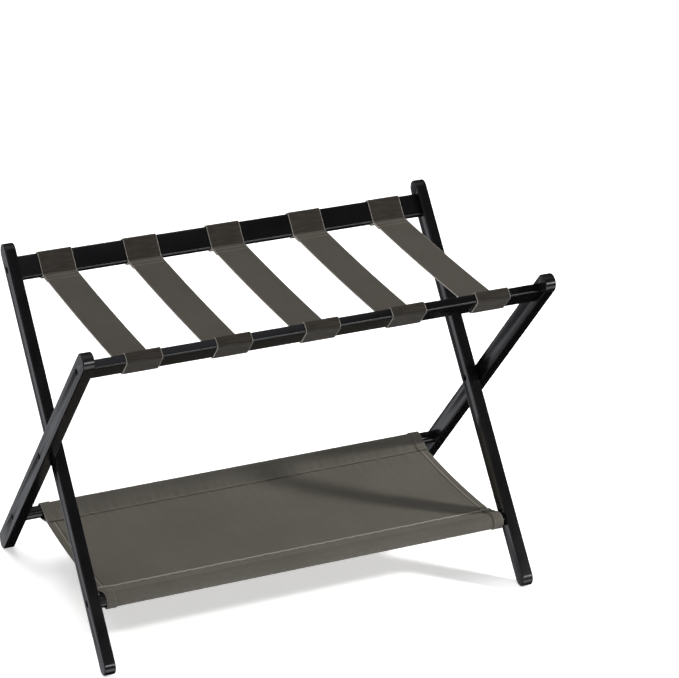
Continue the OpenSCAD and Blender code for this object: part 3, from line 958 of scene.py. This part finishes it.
def settledPanel(frontSeam, backSeam):
    # How far the cloth between the seams hangs below a flat sheet, on a coarse grid of (row, column)
    rows, columns = 21, 49
    xs = np.linspace(-shelfHalf, shelfHalf, columns)
    share = np.linspace(0, 1, rows)
    dip = 4 * share * (1 - share)
    wander = 0.75 + 0.12 * np.sin(xs * 17 + 0.6) + 0.08 * np.sin(xs * 41 + 2.1)
    start = -shelf["sag"] * dip[:, None] * wander[None, :]
    level = frontSeam.z + (backSeam.z - frontSeam.z) * share
    depth = frontSeam.y + (backSeam.y - frontSeam.y) * share
    points = [(x, depth[r], level[r] + start[r, c]) for r in range(rows) for c, x in enumerate(xs)]
    faces = [(r * columns + c, r * columns + c + 1, (r + 1) * columns + c + 1, (r + 1) * columns + c)
             for r in range(rows - 1) for c in range(columns - 1)]
    sheet = newObject("shelfDrape", meshFrom("shelfDrape", points, faces))
    pins = sheet.vertex_groups.new(name="sewn")
    pins.add([r * columns + c for r in (0, rows - 1) for c in range(columns)], 1.0, "REPLACE")
    drape = sheet.modifiers.new("cloth", "CLOTH")
    drape.settings.vertex_group_mass = "sewn"
    drape.settings.mass = 0.02
    drape.settings.tension_stiffness = shelf["stiffness"]
    drape.settings.compression_stiffness = shelf["stiffness"]
    drape.settings.bending_stiffness = shelf["bendStiffness"]
    drape.settings.quality = 8
    drape.point_cache.frame_start, drape.point_cache.frame_end = 1, shelf["settleFrames"]
    for step in range(1, shelf["settleFrames"] + 1):
        scene.frame_set(step)
    settled = sheet.evaluated_get(bpy.context.evaluated_depsgraph_get()).data
    heights = np.array([v.co.z for v in settled.vertices]).reshape(rows, columns)
    scene.frame_set(1)
    bpy.data.objects.remove(sheet)
    hang = np.clip(heights - level[:, None], -1.5 * shelf["sag"], 0.5 * mm)
    for _ in range(2):  # a light smoothing, since the grid is coarse
        hang[:, 1:-1] = hang[:, 1:-1] * 0.5 + (hang[:, :-2] + hang[:, 2:]) * 0.25
        hang[1:-1] = hang[1:-1] * 0.5 + (hang[:-2] + hang[2:]) * 0.25
    print(f"shelf: cloth settled, hangs {-hang.min() * 1000:.1f} mm")
    return xs, share, hang


def hangAt(x, s, grid):  # bilinear reading of the settled grid
    xs, share, hang = grid
    c = np.clip((x - xs[0]) / (xs[1] - xs[0]), 0, len(xs) - 1.001)
    r = min(max(s, 0), 1) * (len(share) - 1)
    r = min(r, len(share) - 1.001)
    ci, ri = int(c), int(r)
    cf, rf = c - ci, r - ri
    top = hang[ri, ci] * (1 - cf) + hang[ri, ci + 1] * cf
    low = hang[ri + 1, ci] * (1 - cf) + hang[ri + 1, ci + 1] * cf
    return top * (1 - rf) + low * rf


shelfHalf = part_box("shelf_panel")[1].x - shelf["endInset"]
frontRod, backRod = nodeCentre("front_lower_rod"), nodeCentre("back_lower_rod")
frontRod.x = backRod.x = 0
frontSeam = frontRod + Vector((0, shelf["seamReach"], shelf["frontSeamRise"]))
backSeam = backRod + Vector((0, -shelf["seamReach"], shelf["backSeamRise"]))
frontSleeve = sleevePath(frontRod, -1, frontSeam)
backSleeve = sleevePath(backRod, 1, backSeam)
panelRows = [frontSeam.lerp(backSeam, t) for t in np.linspace(0, 1, shelf["panelSteps"])]
slingRows = frontSleeve[::-1][:-1] + panelRows + backSleeve[1:]
firstPanelRow = len(frontSleeve) - 1
lastPanelRow = firstPanelRow + shelf["panelSteps"] - 1
rowLength = np.concatenate([[0], np.cumsum([(b - a).length for a, b in zip(slingRows, slingRows[1:])])])
seamLengths = [rowLength[i] for i in (3, firstPanelRow, lastPanelRow, len(slingRows) - 4)]
panelHang = settledPanel(frontSeam, backSeam)


def rowNormal(r):  # away from the rods; under the panel
    before, after = slingRows[max(r - 1, 0)], slingRows[min(r + 1, len(slingRows) - 1)]
    way = (after - before).normalized()
    return Vector((0, way.z, -way.y))


def puckerAt(x, r):  # the seams draw the cloth into small gathers
    nearest = min(abs(rowLength[r] - s) for s in seamLengths)
    calm = min(1.0, max(0.0, (shelfHalf - abs(x)) / (20 * mm)))
    wave = (math.sin(x * 449 + 1.2 * math.sin(x * 37)) + 0.6 * math.sin(x * 271 + 2.0)
            + 0.5 * math.sin(x * 97 + r * 0.12))
    return shelf["pucker"] * wave * calm * (math.exp(-nearest / (11 * mm)) + 0.12)


def slingPoint(x, r, lift):
    point = slingRows[r] + rowNormal(r) * (lift + puckerAt(x, r))
    if firstPanelRow <= r <= lastPanelRow:
        point.z += hangAt(x, (r - firstPanelRow) / (shelf["panelSteps"] - 1), panelHang)
    point.x = x + shelf["endInset"]
    return point


def hemmedColumns():  # (x, lift) across the cloth: each end is turned to the outside and lies flat on it
    fold = 0.62 * shelf["thickness"]
    inner = shelfHalf - fold
    turned = [(inner - shelf["hemDepth"] * (1 - t), 2 * fold) for t in np.linspace(0, 1, 5)[:-1]]
    round_ = [(inner + fold * math.sin(a), fold + fold * math.cos(a)) for a in np.linspace(0, math.pi, 6)]
    right = turned + round_
    middle = [(x, 0.0) for x in np.linspace(-inner, inner, 250)[1:-1]]
    left = [(-x, lift) for x, lift in right]
    return left + middle + right[::-1]


columns = hemmedColumns()
walkedAcross = np.concatenate([[0], np.cumsum([math.dist(a, b) for a, b in zip(columns, columns[1:])])])
clothWidth, clothLength = float(walkedAcross[-1]), float(rowLength[-1])
hemAt = shelfHalf - shelf["hemDepth"] + shelf["hemStitchIn"]
canvas = makeCanvas(clothWidth, hemAt)
slingPoints = [slingPoint(x, r, lift) for r in range(len(slingRows)) for x, lift in columns]
count = len(columns)
slingFaces = [(r * count + c, r * count + c + 1, (r + 1) * count + c + 1, (r + 1) * count + c)
              for r in range(len(slingRows) - 1) for c in range(count - 1)]
sling = newObject("shelfSling", meshFrom("shelfSling", slingPoints, slingFaces), canvas)
writeUv(sling.data, np.tile(walkedAcross, len(slingRows)), np.repeat(rowLength, count))
foldLayer = sling.data.attributes.new("foldHighlight", "FLOAT", "POINT")  # painted highlight on the folds and the front flap's edge
folded = [math.sin(math.pi * min(1.0, lift / (1.24 * shelf["thickness"]))) for x, lift in columns]
flapEdge = {0: 1.0, 1: 0.9, 2: 0.35}
foldLayer.data.foreach_set("value", [max(f, flapEdge.get(r, 0.0)) for r in range(len(slingRows)) for f in folded])
solid = sling.modifiers.new("thickness", "SOLIDIFY")
solid.thickness = shelf["thickness"]
solid.offset = 0
bakeModifiers(sling)
smoothByAngle(sling.data, 50)
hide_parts("shelf_panel", "shelf_front_sleeve", "shelf_back_sleeve")
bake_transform(sling)


def seamLine(r):  # along X on the outer face of a flap
    clear = shelf["thickness"] / 2 + shelf["stitchLift"]
    return [slingPoint(x, r, clear) for x in np.linspace(-shelfHalf + 3 * mm, shelfHalf - 3 * mm, 240)]


def hemLine(side):
    clear = shelf["thickness"] / 2 + shelf["stitchLift"]
    outside = [slingPoint(side * hemAt, r, 1.24 * shelf["thickness"] + clear) for r in range(len(slingRows))]
    onPanel = [slingPoint(side * hemAt, r, -clear) for r in range(firstPanelRow + 2, lastPanelRow - 1)]
    return [outside, onPanel]


shelfSeams = [seamLine(2), seamLine(len(slingRows) - 3)] + hemLine(-1) + hemLine(1)
shelfStitches = sewLines("shelfStitches", shelfSeams, stitchTree,
                         shelf["stitchPitch"], shelf["stitchLength"], shelf["threadWidth"])
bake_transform(shelfStitches)
print(f"shelf: {clothWidth * 1000:.0f} x {clothLength * 1000:.0f} mm of canvas")


# Floor and light

studio = {
    "floorColour": "#f4f3f1",
    "floorGlow": 0.55,
    "skyTop": 0.045,
    "skyZenith": 0.45,     # straight above, for the upper edges of the rails
    "skyLeft": 0.55,       # a pale wall to the left, seen in the legs' side faces
    "skyDark": 0.01,
    "skyFrontFloor": 1.7,  # the bright floor in front, seen in the lower edges
    "floorReach": 6,
    "lookAt": (0, 0, 0.25),
    "softboxes": {  # place, size, power, and True if it only shows in the gloss, False if it only lights
        "keySoftbox": ((-0.5, 0.6, 3.3), (2.6, 2.6), 88, False),
        "sideSoftbox": ((2.75, -1.2, 1.55), (0.3, 0.3), 120, False),  # throws a leg's shadow over the shelf
        "frontSoftbox": ((1.25, -3.0, 1.35), (3.0, 0.55), 42, True),
    },
}

reach = studio["floorReach"]
floorCorners = [(-reach, -reach, 0), (reach, -reach, 0), (reach, reach, 0), (-reach, reach, 0)]
floorMesh = meshFrom("studioFloor", floorCorners, [(0, 1, 2, 3)])
floorPaint, floorTree, floorShader = newMaterial("matteBackdropPaint")  # rolled matt paint: even, faintly mottled
floorPlace = addNode(floorTree, "ShaderNodeTexCoord")
floorCloud = addNode(floorTree, "ShaderNodeTexNoise", {"Vector": (floorPlace, "Object"), "Scale": 3.0})
floorTone = addNode(floorTree, "ShaderNodeMix", {
    "Factor": (floorCloud, "Fac"), 6: toLinear(studio["floorColour"]), 7: toLinear("#f9f9f8"),
}, data_type="RGBA")
setInputs(floorTree, floorShader, {
    "Base Color": (floorTone, 2), "Roughness": 0.9, "Specular IOR Level": 0.1,
    "Emission Color": (1, 1, 1, 1), "Emission Strength": studio["floorGlow"],
})
floor = newObject("studioFloor", floorMesh, floorPaint)
floor.visible_glossy = False  # the lacquer mirrors the sky below it instead, dark straight down


def lightWorld():
    world = bpy.data.worlds.new("studioSky")
    scene.world = world
    world.use_nodes = True
    tree = world.node_tree
    tree.nodes.clear()
    place = addNode(tree, "ShaderNodeTexCoord")
    split = addNode(tree, "ShaderNodeSeparateXYZ", {"Vector": (place, "Generated")})

    def ramp(axis, start, end, low, high):
        node = addNode(tree, "ShaderNodeMapRange", {
            "Value": (split, axis), "From Min": start, "From Max": end, "To Min": low, "To Max": high,
        }, interpolation_type="SMOOTHSTEP")
        return node, "Result"

    def combine(operation, first, second):
        return addNode(tree, "ShaderNodeMath", {0: first, 1: second}, operation=operation), "Value"

    wall = combine("MULTIPLY", ramp("X", 0.1, -0.3, studio["skyTop"], studio["skyLeft"]),
                   ramp("X", -0.31, -0.45, 1.0, 0.25))
    lit = combine("MULTIPLY", wall, ramp("Z", -0.72, -0.5, 0.0, 1.0))
    floorAhead = combine("MULTIPLY", ramp("Y", -0.45, -0.65, 0.0, studio["skyFrontFloor"]),
                         ramp("Z", -0.25, -0.4, 0.0, 1.0))
    zenith = ramp("Z", 0.84, 0.92, 0.0, studio["skyZenith"])
    overhead = combine("MAXIMUM", combine("MAXIMUM", lit, studio["skyDark"]), zenith)
    power = combine("ADD", overhead, floorAhead)
    sky = addNode(tree, "ShaderNodeBackground", {"Color": toLinear("#f2f4fb"), "Strength": power})
    addNode(tree, "ShaderNodeOutputWorld", {"Surface": (sky, "Background")})


def softbox(name, place, size, power, mirrored):
    data = bpy.data.lights.new(name, "AREA")
    data.shape = "RECTANGLE"
    data.size, data.size_y = size
    data.energy = power
    lamp = bpy.data.objects.new(name, data)
    lamp.location = place
    lamp.rotation_euler = (Vector(studio["lookAt"]) - Vector(place)).to_track_quat("-Z", "Y").to_euler()
    lamp.visible_glossy = mirrored
    lamp.visible_diffuse = not mirrored
    scene.collection.objects.link(lamp)


lightWorld()
for name, (place, size, power, mirrored) in studio["softboxes"].items():
    softbox(name, place, size, power, mirrored)
scene.view_settings.view_transform = "Standard"
scene.view_settings.look = "None"
print("studio: floor and lights")
